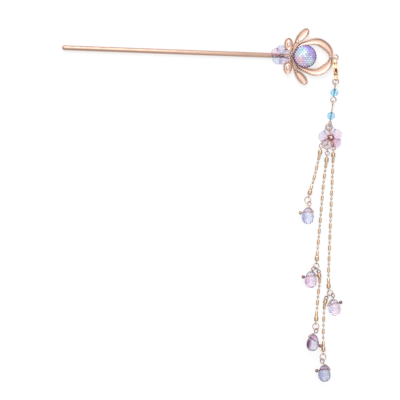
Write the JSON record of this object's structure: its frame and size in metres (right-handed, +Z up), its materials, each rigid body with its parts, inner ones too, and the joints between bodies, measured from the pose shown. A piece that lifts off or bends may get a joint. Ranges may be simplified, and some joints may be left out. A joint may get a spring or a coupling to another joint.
{
  "type": "buyao hairpin",
  "caption": "Straight hair stick with a filigree and cabochon ornament, flower beads, and a hanging string of links, round beads and fine chains ending in glass drops.",
  "frame": {"origin": "on the floor, under the middle of the outline of the hairpin as it lies", "axes": "+X along the stick towards the ornament, +Y in the floor plane away from the dangle, +Z up"},
  "size_m": [0.1448, 0.176, 0.0076],
  "materials": {
    "rose_gold": "polished rose-gold plate",
    "stick_metal": "polished rose-gold plate",
    "yellow_gold": "polished gold plate",
    "wire": "bright drawn wire",
    "cabochon_resin": "pearly fish-scale resin",
    "lilac_glass": "clear, polished",
    "pink_glass": "clear, polished",
    "blue_glass": "clear with a pearly coat",
    "drop_blue": "clear, polished",
    "drop_pink": "clear, polished",
    "drop_violet": "clear, polished",
    "chain_metal": "polished rose-gold plate"
  },
  "bodies": {
    "hairpin": {"stick": "stick_metal", "filigree": "rose_gold", "cabochon": "cabochon_resin", "stick_flower": "lilac_glass", "stick_flower_pin": "wire", "ring_frame": "wire", "clasp_body": "yellow_gold", "ring_clasp": "wire", "eye_pin_upper": "wire", "bead_upper": "blue_glass", "eye_pin_lower": "wire", "bead_lower": "blue_glass", "ring_flower": "wire", "connector": "rose_gold", "tassel_flower": "pink_glass", "tassel_flower_heart": "pink_glass", "tassel_flower_pin": "wire", "ring_left": "wire", "ring_middle": "wire", "ring_middle_link": "wire", "ring_middle_low": "wire", "ring_right": "wire", "cap_a_top": "rose_gold", "chain_a": "chain_metal", "cap_a_end": "rose_gold", "ring_a_end": "wire", "drop_a": "drop_blue", "drop_pin_a": "wire", "cap_b_top": "rose_gold", "chain_b_upper": "chain_metal", "cap_b_mid": "rose_gold", "ring_b_mid": "wire", "drop_b_mid": "drop_pink", "drop_pin_b_mid": "wire", "ring_b_link": "wire", "cap_b_low": "rose_gold", "chain_b_lower": "chain_metal", "cap_b_end": "rose_gold", "ring_b_end": "wire", "drop_b_end": "drop_violet", "drop_pin_b_end": "wire", "cap_c_top": "rose_gold", "chain_c_upper": "chain_metal", "cap_c_mid": "rose_gold", "ring_c_mid": "wire", "drop_c_mid": "drop_violet", "drop_pin_c_mid": "wire", "ring_c_link": "wire", "cap_c_low": "rose_gold", "chain_c_lower": "chain_metal", "cap_c_end": "rose_gold", "ring_c_end": "wire", "drop_c_end": "drop_blue", "drop_pin_c_end": "wire"},
    "lever": {"clasp_lever": "yellow_gold"}
  },
  "joints": [
    {"name": "lever_pivot", "type": "hinge", "parent": "hairpin", "child": "lever", "pos_m": [0.06462, 0.06897, 0.00265], "axis": [-0.9965, -0.0837, 0], "range_deg": [0, 15], "stiffness_Nm_per_rad": 0.0004, "springref_deg": -11.46}
  ]
}
